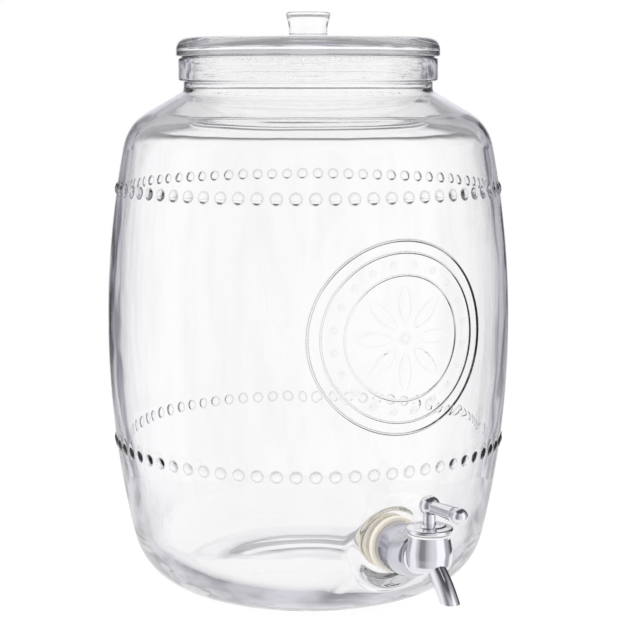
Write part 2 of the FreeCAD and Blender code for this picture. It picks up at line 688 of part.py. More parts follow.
def valve_stem():
    flange_top = STEM_FLANGE_Z + STEM_FLANGE
    stem = upright(turned_corners([
        (0, STEM_FLANGE_Z, 0), (STEM_FLANGE_R, STEM_FLANGE_Z, 0.3), (STEM_FLANGE_R, flange_top, 0.3),
        (STEM_R, flange_top, 0), (STEM_R, HUB_SEAT_Z, 0), (HUB_BORE_R, HUB_SEAT_Z, 0),
        (HUB_BORE_R, HUB_BORE_TOP_Z - 0.4, 0.4), (0, HUB_BORE_TOP_Z - 0.4, 0)]))
    for z in STEM_RING_Z:
        stem = stem.cut(upright(o_ring(stem_ring_major(), STEM_RING_R + 0.04, z)))
    return stem.fuse(tang(0, STEM_FLANGE_Z + STEM_FLANGE / 2))


def stem_rings():
    return Part.makeCompound([upright(o_ring(stem_ring_major(), STEM_RING_R, z)) for z in STEM_RING_Z])


def thrust_washer():
    low = STEM_FLANGE_Z + STEM_FLANGE
    high = BONNET_SKIRT_Z - FIT
    return cup_disc(STEM_FLANGE_R + 0.6, low, high).cut(cup_disc(STEM_R + FIT, low - 1, high + 1))


# Lever
def lever_hub():
    ball = Part.makeSphere(HUB_R, OUT * CUP_AXIS + UP * HUB_Z)
    ball = ball.cut(cup_disc(HUB_R, HUB_SEAT_Z - HUB_R, HUB_SEAT_Z))
    ball = ball.cut(along_lever(Part.makeCylinder(HUB_R, HUB_R, V(0, 0, HUB_FACE))))
    ball = ball.cut(along_lever(Part.makeCylinder(ARM_TENON_R, ARM_TENON, V(0, 0, HUB_FACE - ARM_TENON))))
    ball = ball.cut(along_lever(Part.makeCylinder(SCREW_R, HUB_R, V(0, 0, -HUB_R - HUB_BORE_R)), rise=0))
    return ball.cut(cup_disc(HUB_BORE_R, HUB_SEAT_Z - 1, HUB_BORE_TOP_Z))


def hub_screw():
    """A socket set screw in the back of the hub, tight on the stem."""
    start = -HUB_BORE_R - SCREW_LENGTH
    screw = Part.makeCylinder(SCREW_R, SCREW_LENGTH, V(0, 0, start))
    socket_r = SCREW_SOCKET / math.sqrt(3)
    socket = hexagon_bar(socket_r, start, SCREW_SOCKET_DEPTH)
    return along_lever(screw.cut(socket), rise=0)


def lever_arm():
    end = HUB_FACE + ARM_LENGTH
    return along_lever(turned_corners([
        (0, HUB_FACE - ARM_TENON, 0), (ARM_TENON_R, HUB_FACE - ARM_TENON, 0), (ARM_TENON_R, HUB_FACE, 0),
        (ARM_ROOT_R, HUB_FACE, 0.3), (ARM_TIP_R, end, 0.7), (0, end, 0)]))


def lever_tip():
    """A ball-nosed end piece, turned with a narrow neck where it meets the arm."""
    start = HUB_FACE + ARM_LENGTH
    meet = TIP_CENTRE - math.sqrt(TIP_R ** 2 - TIP_NECK_R ** 2)
    neck = Part.makeCylinder(TIP_NECK_R, meet - start + 1, V(0, 0, start))
    return along_lever(neck.fuse(Part.makeSphere(TIP_R, V(0, 0, TIP_CENTRE))))


PIECES = {
    "glass_foot": glass_foot,
    "glass_skirt": glass_skirt,
    "tap_panel": tap_panel,
    "glass_barrel": glass_barrel,
    "glass_neck": glass_neck,
    "lower_beads": lower_beads,
    "upper_beads": upper_beads,
    "medallion": medallion,
    "glass_lid": glass_lid,
    "lid_seal": lid_seal,
    "outer_gasket": outer_gasket,
    "inner_gasket": inner_gasket,
    "inner_washer": inner_washer,
    "shank_nut": shank_nut,
    "shank_sleeve": shank_sleeve,
    "valve_body": valve_body,
    "inlet_seal": inlet_seal,
    "spout_tube": spout_tube,
    "bonnet_washer": bonnet_washer,
    "bonnet_cap": bonnet_cap,
    "valve_plug": valve_plug,
    "plug_ring": plug_ring,
    "valve_stem": valve_stem,
    "stem_rings": stem_rings,
    "thrust_washer": thrust_washer,
    "lever_hub": lever_hub,
    "hub_screw": hub_screw,
    "lever_arm": lever_arm,
    "lever_tip": lever_tip,
}


def main():
    os.makedirs("parts", exist_ok=True)
    for name, make in PIECES.items():
        shape = make()
        solids = shape.Solids
        print(f"{name}: {len(solids)} solid, valid {shape.isValid()}, {shape.Volume / 1000:.2f} cm3")
        if len(solids) == 1:
            shape = solids[0]
        shape.exportStep(f"parts/{name}.step")


main()
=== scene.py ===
import math
import bpy
import numpy as np
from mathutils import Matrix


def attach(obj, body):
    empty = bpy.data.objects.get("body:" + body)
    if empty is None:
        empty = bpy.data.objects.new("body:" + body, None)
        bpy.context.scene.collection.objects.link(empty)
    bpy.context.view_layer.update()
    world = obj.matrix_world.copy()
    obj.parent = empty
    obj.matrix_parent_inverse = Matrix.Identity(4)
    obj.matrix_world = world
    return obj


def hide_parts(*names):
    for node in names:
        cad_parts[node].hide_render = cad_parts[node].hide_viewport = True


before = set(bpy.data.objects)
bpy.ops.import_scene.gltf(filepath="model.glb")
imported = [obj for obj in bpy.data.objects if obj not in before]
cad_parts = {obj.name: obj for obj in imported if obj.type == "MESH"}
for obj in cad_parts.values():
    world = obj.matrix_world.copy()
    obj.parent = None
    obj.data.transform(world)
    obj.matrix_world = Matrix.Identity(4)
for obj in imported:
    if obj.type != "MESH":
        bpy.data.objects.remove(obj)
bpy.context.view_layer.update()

# Glass jar: one pressed piece of clear soda-lime glass, with its beads, medallion and tap pad moulded
# in. The faces round the tap's hole are pressed flat, and the hole is drilled. Sizes are millimetres
# until a mesh is made, and angles run from the front (-Y) towards +X.
MM = 0.001
BEADS = 68                                # in each row
STEPS = 2 * BEADS                         # columns round the jar, two for each bead
STEP = 2 * math.pi / STEPS
# the arcs of the half section, outside and inside: each centre (r, z) and radius
SIDE_CENTRE, SIDE_ARC = (-423.4, 150.0), 540.0
INNER_CENTRE, INNER_ARC = (-423.4, 156.4), 533.8
HEEL, HEEL_ARC = (65.95, 38.0), 38.0
HEEL_IN, HEEL_IN_ARC = (65.07, 41.5), 32.0
HEEL_TOP, HEEL_IN_TOP = 29.52, 34.17      # where the heel's arcs run into the side
SHOULDER, SHOULDER_ARC = (78.63, 250.5), 28.0
SHOULDER_IN, SHOULDER_IN_ARC = (79.77, 250.0), 22.0
SHOULDER_Z, SHOULDER_IN_Z = 255.5, 253.5  # where the side ends, just below the shoulder's arcs
SLOPE_DEG = 60                            # the shoulder's arcs end here, in a straight slope to the neck
SLOPE_FOOT, SLOPE_TOP = (88.0, 277.43), (73.6, 285.74)
SLOPE_IN_FOOT, SLOPE_IN_TOP = (86.0, 271.81), (76.0, 277.58)
NECK_R, NECK_ROUND, NECK_ROUND_Z = 71.5, 3.0, 288.69
MOUTH_R, MOUTH_ROUND, MOUTH_ROUND_Z = 67.5, 8.0, 287.11
COLLAR_R, COLLAR_Z, RIM_Z = 74.4, 292.4, 305.4
FOOT_IN_R, FOOT_R = 61.0, 65.0
HOLLOW_R, HOLLOW_DEPTH = 57.0, 4.0
FLOOR_EDGE_Z, FLOOR_CROWN = 9.5, 2.5
BEAD_ROWS = (86.0, 232.2)
BEAD_HALF_ROW = 4.4
TAP_Z, MEDAL_Z = 45.5, 159.0
TAP_LOW, TAP_HIGH = 13.0, 77.0            # windows in the wall's grid: pad, seat and medallion
TAP_IN_LOW, TAP_IN_HIGH = 19.0, 72.0
MEDAL_LOW, MEDAL_HIGH = 102.0, 216.0


def arc_points(centre, radius, start_deg, end_deg, count):
    """Points (r, z) spread evenly along a circle's arc, both ends included."""
    angle = np.radians(np.linspace(start_deg, end_deg, count))
    return np.stack([centre[0] + radius * np.cos(angle), centre[1] + radius * np.sin(angle)], 1)


def line_points(start, end, count):
    """Points (r, z) spread evenly along a straight line, both ends included."""
    share = np.linspace(0, 1, count)[:, None]
    return np.array(start) * (1 - share) + np.array(end) * share


def corner_points(corners, count=5):
    """Points (r, z) through corners (r, z, rounding), each rounded corner being an arc of that radius."""
    out = []
    for i, (x, z, rounding) in enumerate(corners):
        here = np.array([x, z], float)
        if rounding == 0:
            out.append(here[None])
            continue
        before = np.array(corners[i - 1][:2]) - here
        after = np.array(corners[(i + 1) % len(corners)][:2]) - here
        before, after = before / np.linalg.norm(before), after / np.linalg.norm(after)
        half = math.acos(np.clip(before @ after, -1, 1)) / 2
        middle = (before + after) / np.linalg.norm(before + after)
        centre = here + middle * rounding / math.sin(half)
        spread = np.linspace(-1, 1, count)[:, None] * (math.pi / 2 - half)
        across = np.array([-middle[1], middle[0]])
        across = across if across @ after > 0 else -across
        out.append(centre + rounding * (np.sin(spread) * across - np.cos(spread) * middle))
    return np.concatenate(out)


def outer_radius(z):
    """Radius of the jar's outside: a heel arc below, and one long arc for the barrel."""
    heel = HEEL[0] + np.sqrt(np.maximum(HEEL_ARC ** 2 - (z - HEEL[1]) ** 2, 0))
    side = SIDE_CENTRE[0] + np.sqrt(SIDE_ARC ** 2 - (z - SIDE_CENTRE[1]) ** 2)
    return np.where(z < HEEL_TOP, heel, side)


def inner_radius(z):
    """Radius of the jar's inside, made up in the same way."""
    heel = HEEL_IN[0] + np.sqrt(np.maximum(HEEL_IN_ARC ** 2 - (z - HEEL_IN[1]) ** 2, 0))
    side = INNER_CENTRE[0] + np.sqrt(INNER_ARC ** 2 - (z - INNER_CENTRE[1]) ** 2)
    return np.where(z < HEEL_IN_TOP, heel, side)


def rows_between(*stops):
    """Heights that pass through each stop (height, steps to the next one)."""
    heights = [np.linspace(a, b, n + 1)[:-1] for (a, n), (b, _) in zip(stops, stops[1:])]
    return np.concatenate(heights + [[stops[-1][0]]])


low_bead, high_bead = BEAD_ROWS
outer_z = rows_between(
    (0.6, 3), (4.0, 4), (TAP_LOW, 14), (TAP_HIGH, 1),
    (low_bead - BEAD_HALF_ROW, 1), (low_bead, 1), (low_bead + BEAD_HALF_ROW, 2),
    (MEDAL_LOW, 22), (MEDAL_HIGH, 2),
    (high_bead - BEAD_HALF_ROW, 1), (high_bead, 1), (high_bead + BEAD_HALF_ROW, 4), (SHOULDER_Z, 0))
inner_z = rows_between((SHOULDER_IN_Z, 30), (TAP_IN_HIGH, 14), (TAP_IN_LOW, 4), (11.0, 2), (9.8, 0))
hollow_r = np.array([4.0, 12, 22, 32, 42, 50, HOLLOW_R])
floor_r = np.array([60.0, 48, 36, 24, 12, 4])
section = np.concatenate([
    np.stack([hollow_r, HOLLOW_DEPTH * (1 - (hollow_r / HOLLOW_R) ** 2)], 1),
    [(FOOT_IN_R, 0.0), (FOOT_R, 0.0)],
    np.stack([outer_radius(outer_z), outer_z], 1),
    arc_points(SHOULDER, SHOULDER_ARC, 11.3, SLOPE_DEG, 12),
    line_points(SLOPE_FOOT, SLOPE_TOP, 5),
    arc_points((NECK_R + NECK_ROUND, NECK_ROUND_Z), NECK_ROUND, 180 + SLOPE_DEG, 180, 6),
    corner_points([(NECK_R, COLLAR_Z - 2.4, 0), (NECK_R, COLLAR_Z, 1.0), (COLLAR_R, COLLAR_Z, 1.4),
                   (COLLAR_R, RIM_Z, 1.0), (MOUTH_R, RIM_Z, 1.0), (MOUTH_R, RIM_Z - 5.4, 0)], 6)[1:-1],
    line_points((MOUTH_R, 301.0), (MOUTH_R, 289.0), 4),
    arc_points((MOUTH_R + MOUTH_ROUND, MOUTH_ROUND_Z), MOUTH_ROUND, 180, 180 + SLOPE_DEG, 7),
    line_points(SLOPE_IN_TOP, SLOPE_IN_FOOT, 4),
    arc_points(SHOULDER_IN, SHOULDER_IN_ARC, SLOPE_DEG, 12.5, 10),
    np.stack([inner_radius(inner_z), inner_z], 1),
    np.stack([floor_r, FLOOR_EDGE_Z + FLOOR_CROWN * (1 - (floor_r / HEEL_IN[0]) ** 2)], 1),
])
heights = section[:, 1]
turn = np.arange(STEPS) * STEP


def on_wall(radius, angle, z):
    """Places points by their distance from the axis, angle from the front and height."""
    return np.stack(np.broadcast_arrays(radius * np.sin(angle), -radius * np.cos(angle), z), -1)


rings = on_wall(section[:, :1], turn[None], section[:, 1:])
ring_numbers = np.arange(rings.shape[0] * STEPS).reshape(-1, STEPS)
jar_points = [rings.reshape(-1, 3)]
# each point's share of painted shade, which the glass turns into a grey tint
flanks = [np.zeros(rings.shape[0] * STEPS)]
faces = []
taken = np.zeros((len(section) - 1, STEPS), bool)


def add_points(points, painted_flank_shade=0.0):
    """Adds an array of points, each with its share of painted shade, and gives their numbers in the same
    order.
    """
    start = sum(map(len, jar_points))
    jar_points.append(points.reshape(-1, 3))
    flanks.append(np.broadcast_to(painted_flank_shade, points.shape[:2]).ravel())
    return start + np.arange(points.shape[0] * points.shape[1]).reshape(points.shape[:2])


def window(bottom, top, half_columns, centre_column):
    """Takes a rectangle out of the wall's grid and gives its edge, anticlockwise seen from outside."""
    low, high = min(bottom, top), max(bottom, top)
    columns = (centre_column + np.arange(-half_columns, half_columns + 1)) % STEPS
    taken[low:high][:, columns[:-1]] = True
    upward = np.arange(bottom, top, 1 if top > bottom else -1)
    downward = upward[::-1] + (1 if top > bottom else -1)
    edge_rows = np.concatenate([np.full(2 * half_columns, bottom), upward,
                                np.full(2 * half_columns, top), downward])
    edge_columns = np.concatenate([columns[:-1], np.full(len(upward), columns[-1]),
                                   columns[:0:-1], np.full(len(upward), columns[0])])
    return edge_rows, edge_columns


def row_at(z, after=0):
    """The first ring at a height, looking from a given ring onwards."""
    rows = np.flatnonzero(np.isclose(heights, z))
    return int(rows[rows >= after][0])


def spread_angles(angles, split):
    """Splits each gap of a closed run of angles evenly, so that a fine ring lines up with a coarse edge."""
    gaps = (np.roll(angles, -1) - angles) % (2 * math.pi)
    return (angles[:, None] + gaps[:, None] * np.arange(split) / split).ravel()


def stitch(edge, ring, split, inward=True):
    """Joins a coarse edge to a fine ring with one many-sided face for each step of the edge."""
    after = np.roll(np.arange(len(edge)), -1)
    fine = np.stack([np.roll(ring, -i)[::split] for i in range(split + 1)], 1)
    if inward:
        return np.column_stack([edge, edge[after], fine[:, ::-1]]).tolist()
    return np.column_stack([fine, edge[after], edge]).tolist()


def ring_quads(numbers):
    """Quads between the neighbouring rings of an array of closed rings, in rows and columns."""
    first, second = numbers[:-1], numbers[1:]
    return np.stack([first, np.roll(first, -1, 1), np.roll(second, -1, 1), second], -1)


def bridge(numbers):
    """The same quads as one list."""
    return ring_quads(numbers).reshape(-1, 4).tolist()


def fan(ring, centre):
    """Triangles from a closed ring to one point."""
    return np.column_stack([ring, np.roll(ring, -1), np.full(len(ring), centre)]).tolist()


def local_edge(rows, columns, centre_angle, centre_z):
    """The window's edge as sideways and upward distances from the middle of what stands in it."""
    radius, z = section[rows, 0], section[rows, 1]
    return radius * np.sin(columns * STEP - centre_angle), z - centre_z


def smooth(start, end, value):
    """A soft step from 0 at the start to 1 at the end: the share squared, times 3 less twice the share."""
    share = np.clip((value - start) / (end - start), 0, 1)
    return share * share * (3 - 2 * share)


# The bead rows: a ball's cap on the wall, on round rings that blend out to the grid. The painted shade is
# strongest on the steep part of the cap.
SPLIT = 3                                 # fine steps for each step of a window's edge
BEAD_R, BEAD_HEIGHT = 3.4, 1.1
BEAD_EDGE_R, BEAD_LIP = 3.5, 0.06         # rings inside this radius stand out by at least this much
bead_rings = np.array([4.15, 3.75, 3.45, 3.2, 2.8, 2.2, 1.5, 0.8])
# each ring's share of painted shade
bead_painted_shade = np.array([0, 0.05, 0.35, 0.45, 0.3, 0.05, 0, 0])
bead_ball = (BEAD_R ** 2 + BEAD_HEIGHT ** 2) / (2 * BEAD_HEIGHT)
bead_lift = np.sqrt(bead_ball ** 2 - bead_rings ** 2) - (bead_ball - BEAD_HEIGHT)
bead_lift = np.where(bead_rings > BEAD_EDGE_R, 0, np.maximum(bead_lift, BEAD_LIP))
for bead_z in BEAD_ROWS:
    middle = row_at(bead_z)
    for bead in range(BEADS):
        angle = (2 * bead + 1) * STEP
        edge_rows, edge_columns = window(middle - 1, middle + 1, 1, 2 * bead + 1)
        across, up = local_edge(edge_rows, edge_columns, angle, bead_z)
        around = spread_angles(np.arctan2(up, across), SPLIT)
        z = bead_z + bead_rings[:, None] * np.sin(around)
        wall = outer_radius(z)
        sideways = np.arcsin(bead_rings[:, None] * np.cos(around) / wall)
        numbers = add_points(on_wall(wall + bead_lift[:, None], angle + sideways, z), bead_painted_shade[:, None])
        crown = outer_radius(np.array([[bead_z]])) + BEAD_HEIGHT
        top = add_points(on_wall(crown, np.array([[angle]]), bead_z))
        faces += stitch(ring_numbers[edge_rows, edge_columns], numbers[0], SPLIT)
        faces += bridge(numbers) + fan(numbers[-1], top[0, 0])

# The medallion: plain rings, a circle of studs, a rosette of eight petals and its eye, drawn as heights over
# the wall on rings that share its centre. Their steep flanks carry painted shade.
MEDAL_R, MEDAL_EVEN_R = 55.2, 47.0        # from the window's edge in to where the points are evenly spread
MEDAL_COLUMNS = 11                        # half the window's width, in columns
# each plain ring's radius, half width, height and share of painted shade on its flanks
MEDAL_RIDGES = ((51.4, 0.95, 0.9, 0.7), (45.05, 0.85, 0.65, 0.5), (33.25, 0.85, 0.65, 0.25))
STUDS, STUD_CIRCLE, STUD_R, STUD_HEIGHT = 20, 39.0, 2.7, 0.5
PETALS, PETAL_MIDDLE, PETAL_HALF_LENGTH, PETAL_HALF_WIDTH = 8, 18.25, 11.25, 4.8
PETAL_HEIGHT, VEIN_DEPTH = 0.55, 0.2
PETAL_FLAT, VEIN_WIDTH = 0.45, 0.2        # as shares of the petal's half width
EYE_R, EYE_HEIGHT = 4.4, 0.8
# shares of painted shade on the flanks of the studs and eye, and of the petals
ROUND_PAINTED_SHADE, PETAL_PAINTED_SHADE = 0.15, 0.09
edge_rows, edge_columns = window(row_at(MEDAL_LOW), row_at(MEDAL_HIGH), MEDAL_COLUMNS, 0)
across, up = local_edge(edge_rows, edge_columns, 0.0, MEDAL_Z)
medal_rings = np.concatenate([
    [MEDAL_R, 54, 53], np.linspace(52.5, 50.3, 12), [49.6, 48.4, 47.2], np.linspace(46.0, 44.1, 11),
    np.linspace(43.4, 34.9, 14), np.linspace(34.2, 32.3, 11), np.linspace(31.4, 6.2, 28),
    [5.4, 4.6, 3.6, 2.4, 1.2]])


def eased(angles, radii, start, end):
    """Angles for each ring that ease from the window's own at one radius to an even spread at another."""
    even = -3 * math.pi / 4 + 2 * math.pi * np.arange(len(angles)) / len(angles)
    slack = (angles - even + math.pi) % (2 * math.pi) - math.pi
    return even + slack * (1 - smooth(start, end, radii)[:, None])


def ridge(distance, half_width, height):
    """A rounded ridge: a squared cosine of that height and half width."""
    return height * np.cos(np.clip(distance / half_width, -1, 1) * math.pi / 2) ** 2


def ridge_flank(distance, half_width):
    """How steep a ridge is: a squared sine, 1 halfway down its flanks and 0 on the crest and at the foot."""
    return np.sin(np.clip(distance / half_width, -1, 1) * math.pi) ** 2


around = eased(spread_angles(np.arctan2(up, across), SPLIT), medal_rings, MEDAL_R, MEDAL_EVEN_R)
off_centre = medal_rings[:, None]
relief = sum(ridge(off_centre - radius, half, height) for radius, half, height, _ in MEDAL_RIDGES)
# painted shade on the steep flanks of the rings, studs, eye and petals
steep = sum(share * ridge_flank(off_centre - radius, half) for radius, half, _, share in MEDAL_RIDGES)
clock = np.pi / 2 - around                # angle from the top, clockwise
stud_turn = 2 * math.pi / STUDS
stud_off = (clock % stud_turn) - stud_turn / 2
stud_gap = np.hypot(off_centre * np.cos(stud_off) - STUD_CIRCLE, off_centre * np.sin(stud_off))
relief = relief + ridge(stud_gap, STUD_R, STUD_HEIGHT)
petal_turn = 2 * math.pi / PETALS
petal_off = (clock + petal_turn / 2) % petal_turn - petal_turn / 2
petal_at = (off_centre - PETAL_MIDDLE) / PETAL_HALF_LENGTH
petal_width = PETAL_HALF_WIDTH * np.clip(1 - petal_at ** 2, 0.001, 1)
petal_side = off_centre * np.sin(petal_off) / petal_width
petal_body = smooth(1.0, PETAL_FLAT, np.abs(petal_side)) * (np.abs(petal_at) < 1)
relief = relief + petal_body * (PETAL_HEIGHT - VEIN_DEPTH * np.exp(-(petal_side / VEIN_WIDTH) ** 2))
relief = relief + ridge(off_centre, EYE_R, EYE_HEIGHT)
steep = steep + ROUND_PAINTED_SHADE * (ridge_flank(stud_gap, STUD_R) + ridge_flank(off_centre, EYE_R))
steep = steep + PETAL_PAINTED_SHADE * np.sin(petal_body * math.pi)
z = MEDAL_Z + off_centre * np.sin(around)
wall = outer_radius(z)
numbers = add_points(on_wall(wall + relief, np.arcsin(off_centre * np.cos(around) / wall), z), steep)
eye = add_points(on_wall(outer_radius(np.array([[MEDAL_Z]])) + EYE_HEIGHT, np.zeros((1, 1)), MEDAL_Z))
faces += stitch(ring_numbers[edge_rows, edge_columns], numbers[0], SPLIT)
faces += bridge(numbers) + fan(numbers[-1], eye[0, 0])

# The tap's pad outside, its hole, and the seat inside, as one run of rings. The pad stands out with a
# clear rim below and blends into the wall above.
PAD_FACE, SEAT_FACE, HOLE_R, HOLE_BREAK = 105.8, 97.6, 8.5, 0.3
PAD_R, PAD_EVEN_R, PAD_FLAT_R, PAD_RIM = 29.6, 22.0, 16.6, 7.6
RIM_FROM, RIM_FULL = 0.1, -0.8            # sines of the directions between which the rim comes in
SEAT_R, SEAT_EVEN_R, SEAT_BLEND_R, SEAT_FLAT_R = 24.0, 18.0, 21.6, 17.2
TAP_COLUMNS = 7                           # half the windows' width, in columns
last_outer = len(hollow_r) + 2 + len(outer_z)     # two rings are the foot's
tap_edge = window(row_at(TAP_LOW), row_at(TAP_HIGH), TAP_COLUMNS, 0)
seat_edge = window(row_at(TAP_IN_LOW, last_outer), row_at(TAP_IN_HIGH, last_outer), TAP_COLUMNS, 0)
pad_rings = np.array([PAD_R, 28.8, 28, 27.2, 26.4, 25.6, 24.8, 24, 23.2, 22.4, 21.6, 20.8, 20, 19, 18, 17,
                      16, 14, 11, 9.4, 8.8])
hole_depths = np.array([PAD_FACE - HOLE_BREAK, PAD_FACE - 3, SEAT_FACE + 3, SEAT_FACE + HOLE_BREAK])
seat_rings = np.array([8.8, 9.4, 11, 13, 15, 16.5, 17.3, 18, 18.8, 19.6, 20.4, 21.4, 22.6, SEAT_R])
across, up = local_edge(*tap_edge, 0.0, TAP_Z)
around = eased(spread_angles(np.arctan2(up, across), SPLIT), pad_rings, PAD_R, PAD_EVEN_R)
off_centre = pad_rings[:, None]
x, z = off_centre * np.cos(around), TAP_Z + off_centre * np.sin(around)
wall_y = np.sqrt(outer_radius(z) ** 2 - x ** 2)
flat_edge = PAD_FLAT_R + PAD_RIM * smooth(RIM_FROM, RIM_FULL, np.sin(around))
flat = smooth(1, 0, (off_centre - flat_edge) / (PAD_R - flat_edge))
pad = np.stack([x, -(wall_y * (1 - flat) + PAD_FACE * flat), z], -1)
hole_turn = around[-1]
hole = np.stack(np.broadcast_arrays(
    HOLE_R * np.cos(hole_turn), -hole_depths[:, None], TAP_Z + HOLE_R * np.sin(hole_turn)), -1)
across, up = local_edge(*seat_edge, 0.0, TAP_Z)
around = eased(spread_angles(np.arctan2(up, across), SPLIT), seat_rings, SEAT_R, SEAT_EVEN_R)
off_centre = seat_rings[:, None]
x, z = off_centre * np.cos(around), TAP_Z + off_centre * np.sin(around)
wall_y = np.sqrt(inner_radius(z) ** 2 - x ** 2)
flat = smooth(SEAT_BLEND_R, SEAT_FLAT_R, off_centre)
seat = np.stack([x, -(wall_y * (1 - flat) + SEAT_FACE * flat), z], -1)
numbers = add_points(np.concatenate([pad, hole, seat]))
faces += stitch(ring_numbers[tap_edge], numbers[0], SPLIT)
first_ground = len(faces) + (len(pad_rings) - 1) * len(hole_turn)
last_ground = first_ground + (len(hole_depths) + 1) * len(hole_turn)
faces += bridge(numbers)
faces += stitch(ring_numbers[seat_edge], numbers[-1], SPLIT, inward=False)

# the plain wall, and the middles of the base and the floor
base = add_points(np.array([[[0, 0, HOLLOW_DEPTH], [0, 0, FLOOR_EDGE_Z + FLOOR_CROWN]]]))
faces += ring_quads(ring_numbers)[~taken].tolist()
faces += fan(ring_numbers[0][::-1], base[0, 0]) + fan(ring_numbers[-1], base[0, 1])


def mesh_object(name, points, polygons, painted_flank_shade=None):
    """A smooth-shaded object from points in millimetres, dropping points that no face uses."""
    used = np.zeros(len(points), bool)
    used[np.concatenate(polygons)] = True
    number = np.cumsum(used) - 1
    mesh = bpy.data.meshes.new(name)
    mesh.from_pydata((points[used] * MM).tolist(), [], [number[polygon].tolist() for polygon in polygons])
    mesh.polygons.foreach_set("use_smooth", np.ones(len(mesh.polygons), bool))
    # each point's share of painted shade, for the glass's grey tint
    if painted_flank_shade is not None:
        share = mesh.attributes.new("painted_flank_shade", "FLOAT", "POINT")
        share.data.foreach_set("value", painted_flank_shade[used].astype(np.float32))
    mesh.update()
    piece = bpy.data.objects.new(name, mesh)
    bpy.context.scene.collection.objects.link(piece)
    return piece


jar = mesh_object("pressed_jar", np.concatenate(jar_points), faces, np.concatenate(flanks))
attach(jar, "jar")
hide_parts("glass_foot", "glass_skirt", "tap_panel", "glass_barrel", "glass_neck", "lower_beads",
            "upper_beads", "medallion")
jar.visible_diffuse = False               # light reaches what stands behind the glass


def linear(code):
    """Turns an sRGB hex colour into linear RGBA."""
    channels = [int(code[i:i + 2], 16) / 255 for i in (1, 3, 5)]
    return [c / 12.92 if c <= 0.04045 else ((c + 0.055) / 1.055) ** 2.4 for c in channels] + [1.0]


def every(size):
    """The scale of a pattern whose patches come every so many millimetres."""
    return 1 / (size * MM)


def node(tree, kind, settings=None, inputs=None, links=None):
    """Adds a node, sets its properties and sockets, and links other nodes' outputs to its inputs."""
    made = tree.nodes.new(kind)
    for key, value in (settings or {}).items():
        setattr(made, key, value)
    for key, value in (inputs or {}).items():
        made.inputs[key].default_value = value
    for key, output in (links or {}).items():
        tree.links.new(output, made.inputs[key])
    return made


def new_material(name):
    """An empty node material, with its tree and the piece's own coordinates."""
    material = bpy.data.materials.new(name)
    material.use_nodes = True
    tree = material.node_tree
    tree.nodes.clear()
    return material, tree, node(tree, "ShaderNodeTexCoord").outputs["Object"]


# Pressed soda-lime glass: clear and fire-polished, with the long soft ripples that the mould leaves, about 30
# mm from crest to crest. The steep flanks of the beads and of the medallion are tinted grey as painted shade,
# which draws them as thin grey lines where the glass bends light away.
COLOUR_MIX = {"data_type": "RGBA"}        # sockets: 0 is the share, 6 and 7 the colours, and output 2 the mix
glass, tree, place = new_material("pressed_glass")
ripple = node(tree, "ShaderNodeTexNoise", None, {"Scale": every(30.3), "Detail": 1.0}, {"Vector": place})
bump = node(tree, "ShaderNodeBump", None, {"Strength": 0.35, "Distance": 0.6 * MM},
            {"Height": ripple.outputs["Fac"]})
painted_flank_shade = node(tree, "ShaderNodeAttribute", {"attribute_name": "painted_flank_shade"})
# painted shade: a grey tint where a point's share of it is high
clear = node(tree, "ShaderNodeMix", COLOUR_MIX, {6: linear("#FFFFFF"), 7: linear("#4E4D58")},
             {0: painted_flank_shade.outputs["Fac"]})
surface = node(tree, "ShaderNodeBsdfPrincipled", None,
               {"Roughness": 0.0, "IOR": 1.5, "Transmission Weight": 1.0},
               {"Base Color": clear.outputs[2], "Normal": bump.outputs["Normal"]})
node(tree, "ShaderNodeOutputMaterial", links={"Surface": surface.outputs["BSDF"]})
jar.data.materials.append(glass)

# Ground glass: the wall of the drilled hole is left as the grit leaves it, white and matt, so that the
# metal shank inside the hole doesn't show through the pad. The grit's marks are drawn 0.4 mm apart, which
# is coarser than they are.
ground, tree, place = new_material("ground_glass")
grit = node(tree, "ShaderNodeTexNoise", None, {"Scale": every(0.385), "Detail": 2.0}, {"Vector": place})
bump = node(tree, "ShaderNodeBump", None, {"Strength": 0.06, "Distance": 0.1 * MM},
            {"Height": grit.outputs["Fac"]})
surface = node(tree, "ShaderNodeBsdfPrincipled", None,
               {"Base Color": linear("#FDFAF2"), "Roughness": 0.8, "IOR": 1.5},
               {"Normal": bump.outputs["Normal"]})
node(tree, "ShaderNodeOutputMaterial", links={"Surface": surface.outputs["BSDF"]})
jar.data.materials.append(ground)
finish = np.zeros(len(jar.data.polygons), np.int32)
finish[first_ground:last_ground] = 1
jar.data.polygons.foreach_set("material_index", finish)

# Glass lid: pressed from the jar's glass, in one with its knob and with the plug ring that hangs into
# the jar's mouth. It is loose, and lies on the seal by its own weight.
LID_STEPS = 168
LID_R, LID_UNDER_Z, LID_TOP_Z, LID_CROWN_Z = 75.6, 306.2, 316.7, 317.1
PLUG_IN_R, PLUG_R, PLUG_Z, RECESS_Z = 58.5, 64.0, 291.5, 309.4
KNOB_FOOT_R, KNOB_FOOT_Z, KNOB_WAIST_R, KNOB_WAIST_Z = 11.0, 317.6, 10.9, 323.0
KNOB_R, KNOB_TOP_Z = 13.3, 331.5
CROWN_EDGE, CROWN_MIDDLE = (66, 316.78), (18, 317.45)


def turned(name, profile, steps, hole=False, place=None):
    """The surface that a half section (r, z) sweeps about the jar's axis, closed at its ends on the axis.

    With a hole, the section is a closed run that stays clear of the axis. A place moves the points."""
    angle = np.arange(steps) * 2 * math.pi / steps
    points = on_wall(profile[:, :1], angle[None], profile[:, 1:]).reshape(-1, 3)
    numbers = np.arange(len(profile) * steps).reshape(-1, steps)
    if hole:
        polygons = bridge(np.concatenate([numbers, numbers[:1]]))
    else:
        ends = len(points) + np.arange(2)
        points = np.concatenate([points, [(0, 0, profile[0, 1]), (0, 0, profile[-1, 1])]])
        polygons = bridge(numbers) + fan(numbers[0][::-1], ends[0]) + fan(numbers[-1], ends[1])
    return mesh_object(name, place(points) if place else points, polygons)


